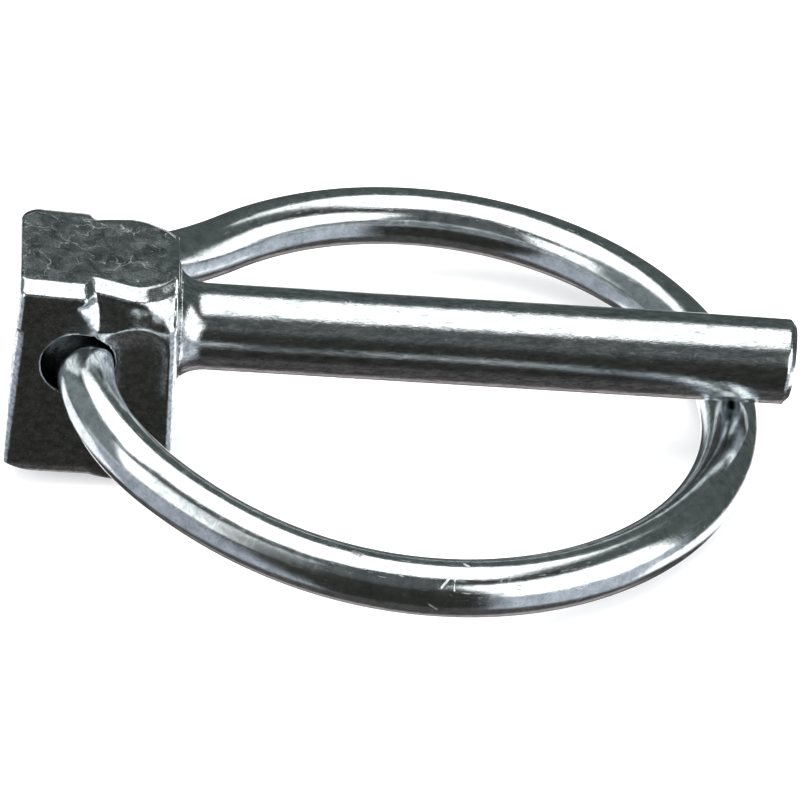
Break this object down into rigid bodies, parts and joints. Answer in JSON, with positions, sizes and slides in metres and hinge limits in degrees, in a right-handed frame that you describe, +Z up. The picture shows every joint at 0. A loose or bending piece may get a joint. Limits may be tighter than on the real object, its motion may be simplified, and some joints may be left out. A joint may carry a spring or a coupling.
{
  "type": "linch pin",
  "caption": "Linch pin with a forged head and a straight round shank, and a spring wire ring that swings on the head and snaps over the tip.",
  "frame": {"origin": "middle of the head's shoulder, on the axis of the shank", "axes": "+X runs from the head to the tip, +Y to the far side of the ring, +Z up as the pin lies at rest"},
  "size_m": [0.0547, 0.0464, 0.017],
  "materials": {
    "pin": "bright zinc plate over forged steel, mottled and faintly crazed",
    "snap_ring": "bright zinc plate over smooth spring steel wire, mirror-like"
  },
  "bodies": {
    "pin": {"pin": "pin"},
    "ring": {"snap_ring": "snap_ring"}
  },
  "joints": [
    {"name": "ring_hinge", "type": "hinge", "parent": "pin", "child": "ring", "pos_m": [-0.0063, 0, 0.00033], "axis": [0, 1, 0], "range_deg": [0, 345]}
  ]
}
